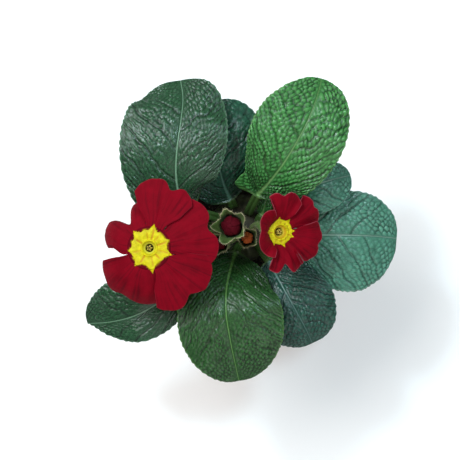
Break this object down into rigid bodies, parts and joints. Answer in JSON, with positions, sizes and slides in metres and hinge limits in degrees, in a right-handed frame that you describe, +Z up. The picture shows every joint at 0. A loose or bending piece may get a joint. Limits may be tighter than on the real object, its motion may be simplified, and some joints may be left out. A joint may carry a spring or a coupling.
{
  "type": "potted primrose",
  "caption": "Potted primrose: a rosette of puckered green leaves with open red flowers and buds, in a plain round plastic pot.",
  "frame": {"origin": "centre of the pot's underside, on the surface that it stands on", "axes": "+Z up along the pot's axis; +Y towards the top of the picture, +X towards its right"},
  "size_m": [0.1448, 0.1377, 0.127],
  "materials": {
    "pot_plastic": "satin",
    "compost": "matte",
    "rootstock": "matte",
    "leaf": "satin",
    "stem": "matte",
    "petal": "matte",
    "flower_eye": "matte",
    "anther": "matte"
  },
  "bodies": {
    "root": {"pot": "pot_plastic", "compost": "compost", "crown": "rootstock", "leaf_1": "leaf", "leaf_2": "leaf", "leaf_3": "leaf", "leaf_4": "leaf", "leaf_5": "leaf", "leaf_6": "leaf", "leaf_7": "leaf", "leaf_8": "leaf", "leaf_9": "leaf", "leaf_10": "leaf", "flower_1_stem": "stem", "flower_1_petals": "petal", "flower_1_eye": "flower_eye", "flower_1_anthers": "anther", "flower_2_stem": "stem", "flower_2_petals": "petal", "flower_2_eye": "flower_eye", "flower_2_anthers": "anther", "bud_1_stem": "stem", "bud_1_petals": "petal", "bud_2_stem": "stem", "bud_2_petals": "petal", "bud_3_stem": "stem", "bud_3_petals": "petal"}
  },
  "joints": []
}
